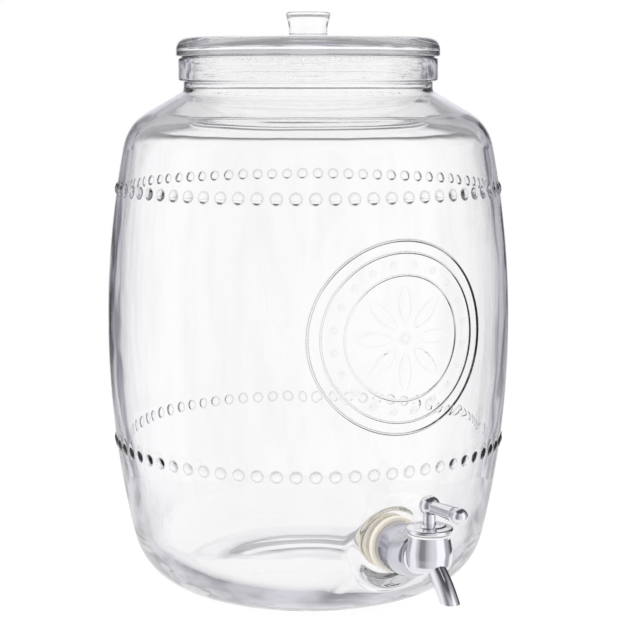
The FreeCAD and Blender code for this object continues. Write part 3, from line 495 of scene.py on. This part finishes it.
lid_section = np.concatenate([
    line_points((3, RECESS_Z), (50, RECESS_Z), 8),
    corner_points([(50, RECESS_Z, 0), (PLUG_IN_R, RECESS_Z, 4), (PLUG_IN_R, PLUG_Z, 2.4),
                   (PLUG_R, PLUG_Z, 2.4), (PLUG_R, LID_UNDER_Z, 0.4), (LID_R, LID_UNDER_Z, 1.2),
                   (LID_R, LID_TOP_Z, 6.3), (40, LID_CROWN_Z, 0)], 8)[1:-1],
    line_points(CROWN_EDGE, CROWN_MIDDLE, 7),
    corner_points([(*CROWN_MIDDLE, 0), (KNOB_FOOT_R, KNOB_FOOT_Z, 1.6), (KNOB_WAIST_R, KNOB_WAIST_Z, 20),
                   (KNOB_R, KNOB_TOP_Z, 1.7), (2, KNOB_TOP_Z, 0)], 10)[1:],
])
lid = turned("pressed_lid", lid_section, LID_STEPS)
lid.data.materials.append(glass)
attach(lid, "lid")
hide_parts("glass_lid")
lid.visible_diffuse = False

# Lid seal: a soft sleeve of clear vinyl, moulded, and pushed onto the lid's plug ring. Three ribs guide
# it in the jar's mouth, and a thin flange lies on its rim.
SEAL_IN_R, SEAL_R, SEAL_RIB_R, SEAL_FLANGE_R = 64.05, 66.0, 67.2, 72.6
SEAL_Z, SEAL_TOP_Z = 292.6, 306.15
SEAL_RIBS, SEAL_HALF_RIB = 3, 0.9
rib_z = SEAL_Z + (RIM_Z - SEAL_Z) / (SEAL_RIBS + 1) * np.arange(1, SEAL_RIBS + 1)
ribs = [corner for z in rib_z for corner in (
    (SEAL_R, z - SEAL_HALF_RIB, 0.3), (SEAL_RIB_R, z, 0.35), (SEAL_R, z + SEAL_HALF_RIB, 0.3))]
seal_section = corner_points([
    (SEAL_IN_R, SEAL_Z, 0.3), (SEAL_R - 0.6, SEAL_Z, 0.5), (SEAL_R, SEAL_Z + 0.8, 0.4), *ribs,
    (SEAL_R, RIM_Z, 0.2), (SEAL_FLANGE_R, RIM_Z, 0.3), (SEAL_FLANGE_R, SEAL_TOP_Z, 0.3),
    (SEAL_IN_R, SEAL_TOP_Z, 0.2)], 4)
seal = turned("clear_seal", seal_section, LID_STEPS, hole=True)
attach(seal, "lid")
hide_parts("lid_seal")
seal.visible_diffuse = False

# Clear flexible vinyl: moulded and a little hazy. It gives the eye a soft shine that wavers with the
# uneven surface, whose patches are about 2.4 mm across.
vinyl, tree, place = new_material("clear_vinyl")
uneven = node(tree, "ShaderNodeTexNoise", None, {"Scale": every(2.38), "Detail": 2.0}, {"Vector": place})
bump = node(tree, "ShaderNodeBump", None, {"Strength": 0.12, "Distance": 0.3 * MM},
            {"Height": uneven.outputs["Fac"]})
surface = node(tree, "ShaderNodeBsdfPrincipled", None,
               {"Base Color": linear("#FDFDFD"), "Roughness": 0.02, "IOR": 1.40, "Transmission Weight": 1.0},
               {"Normal": bump.outputs["Normal"]})
node(tree, "ShaderNodeOutputMaterial", links={"Surface": surface.outputs["BSDF"]})
seal.data.materials.append(vinyl)

# Shank sleeve: a turned brass thimble between the gasket and the cup, plated like the rest. Its front
# end is drawn in to a soft round and runs a little way into the cup, out of sight.
SLEEVE_R, SLEEVE_BORE_R, SLEEVE_NOSE_R = 13.5, 8.2, 11.2
SLEEVE_BACK, SLEEVE_DRAWN_IN, SLEEVE_FRONT = 108.8, 122.0, 133.2
SLEEVE_STEPS = 96


def along_tap(points):
    """Lays a shape turned about the jar's axis along the tap's: its height becomes its distance forward."""
    return np.stack([points[:, 0], -points[:, 2], points[:, 1] + TAP_Z], 1)


sleeve_section = corner_points([
    (SLEEVE_R - 0.6, SLEEVE_BACK, 0), (SLEEVE_R, SLEEVE_BACK, 0.4), (SLEEVE_R, SLEEVE_DRAWN_IN, 9.0),
    (SLEEVE_NOSE_R, SLEEVE_FRONT, 3.2), (SLEEVE_BORE_R, SLEEVE_FRONT, 0), (SLEEVE_BORE_R, SLEEVE_BACK, 0)], 9)
sleeve = turned("shank_thimble", sleeve_section, SLEEVE_STEPS, hole=True, place=along_tap)
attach(sleeve, "jar")
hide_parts("shank_sleeve")

# Lathe-finished nickel: the sleeve's plating, given a base colour a little darker and bluer than the rest,
# which is painted shade for the dark blue-grey that it mirrors. The lathe's marks run round it, drawn 0.75 mm
# apart, which is coarser than they are.
WAVE_LENGTH = math.pi / 10                # the wave texture's bands repeat at this distance at scale 1
satin, tree, place = new_material("lathe_nickel")
marks = node(tree, "ShaderNodeTexWave", {"bands_direction": "Y"},
             {"Scale": WAVE_LENGTH * every(0.748), "Distortion": 1.5, "Detail": 2.0}, {"Vector": place})
polish = node(tree, "ShaderNodeMapRange", None, {"To Min": 0.1, "To Max": 0.17},
              {"Value": marks.outputs["Fac"]})
bump = node(tree, "ShaderNodeBump", None, {"Strength": 0.06, "Distance": 0.2 * MM},
            {"Height": marks.outputs["Fac"]})
# painted shade: a darker, bluer base colour than the other nickel's
surface = node(tree, "ShaderNodeBsdfPrincipled", None, {"Base Color": linear("#D4D4DB"), "Metallic": 1.0},
               {"Roughness": polish.outputs["Result"], "Normal": bump.outputs["Normal"]})
node(tree, "ShaderNodeOutputMaterial", links={"Surface": surface.outputs["BSDF"]})
sleeve.data.materials.append(satin)


def dress(material, *names):
    """Gives a finish to pieces that keep their own shape."""
    for name in names:
        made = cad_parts[name]
        made.data.materials.clear()
        made.data.materials.append(material)


# Tap metal: cast and turned brass pieces, polished and nickel-plated, screwed together. The plating is
# bright with a soft satin break in its reflections, in clouds 7 mm across. The polishing marks are drawn
# 0.55 mm apart, which is coarser than they are.
nickel, tree, place = new_material("satin_nickel")
marks = node(tree, "ShaderNodeTexNoise", None, {"Scale": every(0.555), "Detail": 2.0}, {"Vector": place})
clouds = node(tree, "ShaderNodeTexNoise", None, {"Scale": every(7.14), "Detail": 2.0}, {"Vector": place})
polish = node(tree, "ShaderNodeMapRange", None, {"To Min": 0.1, "To Max": 0.17},
              {"Value": clouds.outputs["Fac"]})
bump = node(tree, "ShaderNodeBump", None, {"Strength": 0.05, "Distance": 0.2 * MM},
            {"Height": marks.outputs["Fac"]})
surface = node(tree, "ShaderNodeBsdfPrincipled", None, {"Base Color": linear("#EFEEF1"), "Metallic": 1.0},
               {"Roughness": polish.outputs["Result"], "Normal": bump.outputs["Normal"]})
node(tree, "ShaderNodeOutputMaterial", links={"Surface": surface.outputs["BSDF"]})
dress(nickel, "valve_body", "spout_tube", "bonnet_cap", "valve_stem", "lever_hub", "lever_arm", "lever_tip")

# Gaskets and inlet seal: cream silicone rubber, moulded and squeezed between their neighbours. It is
# satin and a little translucent, with a faint mottle about 4 mm across.
silicone, tree, place = new_material("cream_silicone")
mottle = node(tree, "ShaderNodeTexNoise", None, {"Scale": every(3.85), "Detail": 3.0}, {"Vector": place})
tint = node(tree, "ShaderNodeMix", COLOUR_MIX, {6: linear("#EBE5D6"), 7: linear("#F4F0E4")},
            {0: mottle.outputs["Fac"]})
bump = node(tree, "ShaderNodeBump", None, {"Strength": 0.1, "Distance": 0.2 * MM},
            {"Height": mottle.outputs["Fac"]})
surface = node(tree, "ShaderNodeBsdfPrincipled", None,
               {"Roughness": 0.48, "IOR": 1.41, "Subsurface Weight": 0.25,
                "Subsurface Radius": (4 * MM, 3 * MM, 2 * MM)},
               {"Base Color": tint.outputs[2], "Normal": bump.outputs["Normal"]})
node(tree, "ShaderNodeOutputMaterial", links={"Surface": surface.outputs["BSDF"]})
dress(silicone, "outer_gasket", "inner_gasket", "inlet_seal")

# Shank nut: natural nylon, moulded, and screwed onto the shank inside the jar. It is cream and slightly
# waxy, with a grain about 2 mm across.
nylon, tree, place = new_material("natural_nylon")
grain = node(tree, "ShaderNodeTexNoise", None, {"Scale": every(2.0), "Detail": 2.0}, {"Vector": place})
tint = node(tree, "ShaderNodeMix", COLOUR_MIX, {6: linear("#EDE7D8"), 7: linear("#F5EFE0")},
            {0: grain.outputs["Fac"]})
bump = node(tree, "ShaderNodeBump", None, {"Strength": 0.08, "Distance": 0.2 * MM},
            {"Height": grain.outputs["Fac"]})
surface = node(tree, "ShaderNodeBsdfPrincipled", None, {"Roughness": 0.38, "IOR": 1.53},
               {"Base Color": tint.outputs[2], "Normal": bump.outputs["Normal"]})
node(tree, "ShaderNodeOutputMaterial", links={"Surface": surface.outputs["BSDF"]})
dress(nylon, "shank_nut")

# White washers: moulded acetal, one under the bonnet and one between the stem's flange and the bonnet.
# They are smooth and matt, and their sheen varies over 1.4 mm.
acetal, tree, place = new_material("white_acetal")
grain = node(tree, "ShaderNodeTexNoise", None, {"Scale": every(1.43), "Detail": 2.0}, {"Vector": place})
sheen = node(tree, "ShaderNodeMapRange", None, {"To Min": 0.32, "To Max": 0.46},
             {"Value": grain.outputs["Fac"]})
surface = node(tree, "ShaderNodeBsdfPrincipled", None, {"Base Color": linear("#F2F1EE"), "IOR": 1.48},
               {"Roughness": sheen.outputs["Result"]})
node(tree, "ShaderNodeOutputMaterial", links={"Surface": surface.outputs["BSDF"]})
dress(acetal, "bonnet_washer", "thrust_washer")

# Steel washer and set screw: plain stainless steel, the one stamped and the other turned. The washer
# lies under the nut, and the screw holds the lever's hub on the stem. Their polish varies over 1.1 mm.
stainless, tree, place = new_material("plain_stainless")
grain = node(tree, "ShaderNodeTexNoise", None, {"Scale": every(1.11), "Detail": 3.0}, {"Vector": place})
polish = node(tree, "ShaderNodeMapRange", None, {"To Min": 0.25, "To Max": 0.4},
              {"Value": grain.outputs["Fac"]})
surface = node(tree, "ShaderNodeBsdfPrincipled", None, {"Base Color": linear("#B9B9BC"), "Metallic": 1.0},
               {"Roughness": polish.outputs["Result"]})
node(tree, "ShaderNodeOutputMaterial", links={"Surface": surface.outputs["BSDF"]})
dress(stainless, "inner_washer", "hub_screw")

# Valve plug: turned brass, bright from the tool, that turns in the valve cup under the stem. The tool's
# cuts run round it, 0.35 mm apart.
brass, tree, place = new_material("turned_brass")
cuts = node(tree, "ShaderNodeTexWave", {"bands_direction": "Z"},
            {"Scale": WAVE_LENGTH * every(0.349), "Distortion": 0.4}, {"Vector": place})
bump = node(tree, "ShaderNodeBump", None, {"Strength": 0.2, "Distance": 0.1 * MM},
            {"Height": cuts.outputs["Fac"]})
surface = node(tree, "ShaderNodeBsdfPrincipled", None,
               {"Base Color": linear("#D8B56A"), "Metallic": 1.0, "Roughness": 0.25},
               {"Normal": bump.outputs["Normal"]})
node(tree, "ShaderNodeOutputMaterial", links={"Surface": surface.outputs["BSDF"]})
dress(brass, "valve_plug")

# O-rings: black nitrile rubber, moulded, one in the plug's groove and two in the stem's. They have a
# dull skin that varies over 0.7 mm.
nitrile, tree, place = new_material("black_nitrile")
skin = node(tree, "ShaderNodeTexNoise", None, {"Scale": every(0.667), "Detail": 2.0}, {"Vector": place})
dull = node(tree, "ShaderNodeMapRange", None, {"To Min": 0.45, "To Max": 0.65},
            {"Value": skin.outputs["Fac"]})
surface = node(tree, "ShaderNodeBsdfPrincipled", None, {"Base Color": linear("#1B1B1C"), "IOR": 1.52},
               {"Roughness": dull.outputs["Result"]})
node(tree, "ShaderNodeOutputMaterial", links={"Surface": surface.outputs["BSDF"]})
dress(nitrile, "plug_ring", "stem_rings")

# Studio: a white backdrop all round. Metal and the outside of the glass mirror grey screens and a dark
# ceiling, and thick glass shows lavender patches where light turns back inside it. How often a ray has
# been mirrored, and how many faces of glass it has passed, tells which of these it sees.
VIEW_AZIMUTH = math.radians(-25.8)
SOFT_STEP = {"interpolation_type": "SMOOTHSTEP"}
WHITE = (1, 1, 1, 1)
DARK_CEILING, LOW_CEILING = (0.08, 0.08, 0.09, 1), (0.08, 0.08, 0.085, 1)
PAPER_BELOW, PAPER_BEYOND = (0.95, 0.95, 0.96, 1), (0.97, 0.97, 0.98, 1)
TURNED_TWICE, TURNED_UP = (0.34, 0.34, 0.36, 1), (0.6, 0.6, 0.62, 1)
ROOM_LIGHT = (0.9, 0.9, 0.91, 1)
PATCHES = 5.0                             # patches of lavender to a unit of direction
forward = (-math.sin(VIEW_AZIMUTH), math.cos(VIEW_AZIMUTH), 0.0)
right = (math.cos(VIEW_AZIMUTH), math.sin(VIEW_AZIMUTH), 0.0)
world = bpy.data.worlds.new("studio")
bpy.context.scene.world = world
world.use_nodes = True
tree = world.node_tree
tree.nodes.clear()
heading = node(tree, "ShaderNodeTexCoord").outputs["Generated"]
rise = node(tree, "ShaderNodeSeparateXYZ", links={0: heading}).outputs["Z"]
ahead = node(tree, "ShaderNodeVectorMath", {"operation": "DOT_PRODUCT"}, {1: forward}, {0: heading})
across = node(tree, "ShaderNodeVectorMath", {"operation": "DOT_PRODUCT"}, {1: right}, {0: heading})

# what metal and the outside of the glass mirror: screens by compass direction, in degrees to the right of
# straight ahead, a dark ceiling, and white paper below and beyond
SCREENS = [(-180, 0.66), (-165, 0.5), (-150, 0.26), (-132, 0.24), (-114, 0.6), (-96, 1.0), (-74, 0.95),
           (-56, 0.3), (-40, 0.12), (-25, 0.1), (-17, 0.4), (-12, 1.0), (12, 1.0), (17, 0.3), (30, 0.06),
           (52, 0.06), (66, 0.3), (80, 0.45), (94, 0.45), (104, 1.1), (140, 1.1), (152, 0.75), (168, 0.75),
           (180, 0.66)]
COOL = 1.06                               # how much bluer than grey the screens are
compass = node(tree, "ShaderNodeMath", {"operation": "ARCTAN2"}, None,
               {0: across.outputs["Value"], 1: ahead.outputs["Value"]})
compass = node(tree, "ShaderNodeMapRange", None, {"From Min": -math.pi, "From Max": math.pi},
               {"Value": compass.outputs[0]})
screens = node(tree, "ShaderNodeValToRGB", links={"Fac": compass.outputs["Result"]})
screens.color_ramp.interpolation = "EASE"
while len(screens.color_ramp.elements) < len(SCREENS):
    screens.color_ramp.elements.new(0.5)
for element, (degrees, grey) in zip(screens.color_ramp.elements, SCREENS):
    element.position = degrees / 360 + 0.5
    element.color = (grey, grey, grey * COOL, 1)
overhead = node(tree, "ShaderNodeMapRange", SOFT_STEP, {"From Min": 0.68, "From Max": 0.86}, {"Value": rise})
below = node(tree, "ShaderNodeMapRange", SOFT_STEP, {"From Min": -0.4, "From Max": -0.62}, {"Value": rise})
beyond = node(tree, "ShaderNodeMapRange", SOFT_STEP, {"From Min": 0.25, "From Max": 0.45},
              {"Value": ahead.outputs["Value"]})
lower = node(tree, "ShaderNodeMapRange", SOFT_STEP, {"From Min": -0.16, "From Max": -0.28}, {"Value": rise})
sweep = node(tree, "ShaderNodeMath", {"operation": "MULTIPLY"}, None,
             {0: beyond.outputs["Result"], 1: lower.outputs["Result"]})
room = node(tree, "ShaderNodeMix", COLOUR_MIX, {7: DARK_CEILING},
            {0: overhead.outputs["Result"], 6: screens.outputs["Color"]})
room = node(tree, "ShaderNodeMix", COLOUR_MIX, {7: PAPER_BELOW},
            {0: below.outputs["Result"], 6: room.outputs[2]})
room = node(tree, "ShaderNodeMix", COLOUR_MIX, {7: PAPER_BEYOND},
            {0: sweep.outputs[0], 6: room.outputs[2]})


def ray_story(tree):
    """A ray's path, and whether it was mirrored, was mirrored and passed glass, and was mirrored twice."""
    path = node(tree, "ShaderNodeLightPath").outputs
    mirrored = node(tree, "ShaderNodeMath", {"operation": "MINIMUM"}, {1: 1.0}, {0: path["Glossy Depth"]})
    passed = node(tree, "ShaderNodeMath", {"operation": "MINIMUM"}, {1: 1.0}, {0: path["Transmission Depth"]})
    inside = node(tree, "ShaderNodeMath", {"operation": "MULTIPLY"}, None,
                  {0: mirrored.outputs[0], 1: passed.outputs[0]})
    twice = node(tree, "ShaderNodeMath", {"operation": "GREATER_THAN"}, {1: 1.5}, {0: path["Glossy Depth"]})
    return path, mirrored.outputs[0], inside.outputs[0], twice.outputs[0]


def uneven_tone(tree, vector, scale, dark, light):
    """Soft patches between a dark and a light tone: noise of that scale, put through a soft step."""
    patches = node(tree, "ShaderNodeTexNoise", None, {"Scale": scale, "Detail": 3.0, "Roughness": 0.6},
                   {"Vector": vector})
    share = node(tree, "ShaderNodeMapRange", SOFT_STEP, {"From Min": 0.32, "From Max": 0.58},
                 {"Value": patches.outputs["Fac"]})
    return node(tree, "ShaderNodeMix", COLOUR_MIX, {6: linear(dark), 7: linear(light)},
                {0: share.outputs["Result"]}).outputs[2]


# what shows through the jar's two walls, which are four faces of glass: the backdrop, with a low dark
# ceiling that the beads bend into view
path, mirrored, inside, twice = ray_story(tree)
faces_passed = path["Transmission Depth"]
walls = node(tree, "ShaderNodeMath", {"operation": "COMPARE"}, {1: 4.0, 2: 0.5}, {0: faces_passed})
ceiling = node(tree, "ShaderNodeMapRange", SOFT_STEP, {"From Min": 0.12, "From Max": 0.2}, {"Value": rise})
ceiling = node(tree, "ShaderNodeMath", {"operation": "MULTIPLY"}, None,
               {0: ceiling.outputs["Result"], 1: walls.outputs[0]})
backdrop = node(tree, "ShaderNodeMix", COLOUR_MIX, {6: WHITE, 7: LOW_CEILING}, {0: ceiling.outputs[0]})

# what glass shows where light turns back inside it: lavender patches, a darker grey where it turns twice,
# a plain grey where it leaves upwards, as from the heel, and white where such light has crossed the jar or
# where it has passed more than four faces, as in the neck and the lid
upward = node(tree, "ShaderNodeMath", {"operation": "GREATER_THAN"}, {1: 0.3}, {0: rise})
across_jar = node(tree, "ShaderNodeMath", {"operation": "GREATER_THAN"}, {1: 2.5}, {0: faces_passed})
neck = node(tree, "ShaderNodeMath", {"operation": "GREATER_THAN"}, {1: 4.5}, {0: faces_passed})
edge = node(tree, "ShaderNodeMix", COLOUR_MIX, {7: TURNED_TWICE},
            {0: twice, 6: uneven_tone(tree, heading, PATCHES, "#737280", "#E6E5EE")})
heel = node(tree, "ShaderNodeMix", COLOUR_MIX, {6: TURNED_UP, 7: WHITE}, {0: across_jar.outputs[0]})
edge = node(tree, "ShaderNodeMix", COLOUR_MIX, None,
            {0: upward.outputs[0], 6: edge.outputs[2], 7: heel.outputs[2]})
edge = node(tree, "ShaderNodeMix", COLOUR_MIX, {7: WHITE}, {0: neck.outputs[0], 6: edge.outputs[2]})

# which of these a ray sees
view = node(tree, "ShaderNodeMix", COLOUR_MIX, None,
            {0: mirrored, 6: backdrop.outputs[2], 7: room.outputs[2]})
view = node(tree, "ShaderNodeMix", COLOUR_MIX, None, {0: inside, 6: view.outputs[2], 7: edge.outputs[2]})
view = node(tree, "ShaderNodeMix", COLOUR_MIX, {7: ROOM_LIGHT},
            {0: path["Is Diffuse Ray"], 6: view.outputs[2]})
view = node(tree, "ShaderNodeMix", COLOUR_MIX, {7: WHITE},
            {0: path["Is Camera Ray"], 6: view.outputs[2]})
sky = node(tree, "ShaderNodeBackground", None, {"Strength": 1.0}, {"Color": view.outputs[2]})
node(tree, "ShaderNodeOutputWorld", links={"Surface": sky.outputs["Background"]})

# Floor: a disc of white paper just under the foot, lit enough to meet the backdrop without an edge. It
# keeps the jar's soft shadow. The metal mirrors the studio instead of it, and thick glass shows lavender
# patches in it, 71 mm across, as it does in the studio.
FLOOR_R, FLOOR_STEPS, FLOOR_GAP = 240.0, 96, 0.6
FLOOR_GLOW = 0.82                         # the share of its look that is its own glow and not the lamps'
SEEN_PAPER, SEEN_THROUGH = (1.04, 1.04, 1.04, 1), (0.97, 0.97, 0.975, 1)
ring = np.arange(FLOOR_STEPS) * 2 * math.pi / FLOOR_STEPS
disc = np.stack([FLOOR_R * np.cos(ring), FLOOR_R * np.sin(ring), np.full(FLOOR_STEPS, -FLOOR_GAP)], 1)
floor_mesh = bpy.data.meshes.new("floor")
floor_mesh.from_pydata((disc * MM).tolist(), [], [list(range(FLOOR_STEPS))])
floor = bpy.data.objects.new("floor", floor_mesh)
bpy.context.scene.collection.objects.link(floor)
floor.visible_glossy = False
paper, tree, place = new_material("white_paper")
path, mirrored, inside, twice = ray_story(tree)
edge = node(tree, "ShaderNodeMix", COLOUR_MIX, {7: TURNED_TWICE},
            {0: twice, 6: uneven_tone(tree, place, every(71.4), "#5A5965", "#CCCBD5")})
tone = node(tree, "ShaderNodeMix", COLOUR_MIX, {6: SEEN_THROUGH, 7: SEEN_PAPER}, {0: path["Is Camera Ray"]})
tone = node(tree, "ShaderNodeMix", COLOUR_MIX, None, {0: inside, 6: tone.outputs[2], 7: edge.outputs[2]})
share = node(tree, "ShaderNodeMath", {"operation": "MULTIPLY_ADD"}, {1: -FLOOR_GLOW, 2: FLOOR_GLOW},
             {0: path["Is Diffuse Ray"]})
matt = node(tree, "ShaderNodeBsdfDiffuse", None, {"Color": linear("#F4F4F4")})
glow = node(tree, "ShaderNodeEmission", None, {"Strength": 1.0}, {"Color": tone.outputs[2]})
mixed = node(tree, "ShaderNodeMixShader", links={
    "Fac": share.outputs[0], 1: matt.outputs["BSDF"], 2: glow.outputs["Emission"]})
node(tree, "ShaderNodeOutputMaterial", links={"Surface": mixed.outputs["Shader"]})
floor_mesh.materials.append(paper)

# Lamps: two square softboxes in front of the jar, the stronger one on the left. They face the jar's
# middle, and neither the metal nor the glass shows them.
SOFTBOX_SIZE, SOFTBOX_AIM = 0.8, (0, 0, 0.15)      # metres


def softbox(name, place, power):
    """A square area lamp that faces the jar's middle."""
    lamp = bpy.data.lights.new(name, "AREA")
    lamp.size = SOFTBOX_SIZE
    lamp.energy = power
    box = bpy.data.objects.new(name, lamp)
    box.location = place
    away = np.array(place) - np.array(SOFTBOX_AIM)
    tilt = math.acos(away[2] / np.linalg.norm(away))
    box.rotation_euler = (tilt, 0, math.atan2(away[1], away[0]) + math.pi / 2)
    box.visible_glossy = False
    box.visible_transmission = False
    bpy.context.scene.collection.objects.link(box)


softbox("key_light", (-1.1, -0.9, 1.3), 9.0)
softbox("fill_light", (1.2, -0.7, 1.0), 5.0)

# Camera: a long lens about a metre away, level with the jar's neck and tilted down, on the left of the
# tap. Its place comes from the circles that the jar shows in the photo.
CAMERA_TILT, CAMERA_TURN = 0.1437, 0.0070         # radians down, and right of the jar's axis
lens = bpy.data.cameras.new("camera")
lens.sensor_width = 36.0
lens.lens = 93.84
camera = bpy.data.objects.new("camera", lens)
camera.location = (-0.4216, -0.8721, 0.2938)
camera.rotation_euler = (math.pi / 2 - CAMERA_TILT, 0, VIEW_AZIMUTH - CAMERA_TURN)
bpy.context.scene.collection.objects.link(camera)
bpy.context.scene.camera = camera
bpy.context.scene.view_settings.view_transform = "Standard"
bpy.context.scene.cycles.max_bounces = 32         # light turns many times inside thick glass
bpy.context.scene.cycles.glossy_bounces = 24
bpy.context.scene.cycles.transmission_bounces = 24
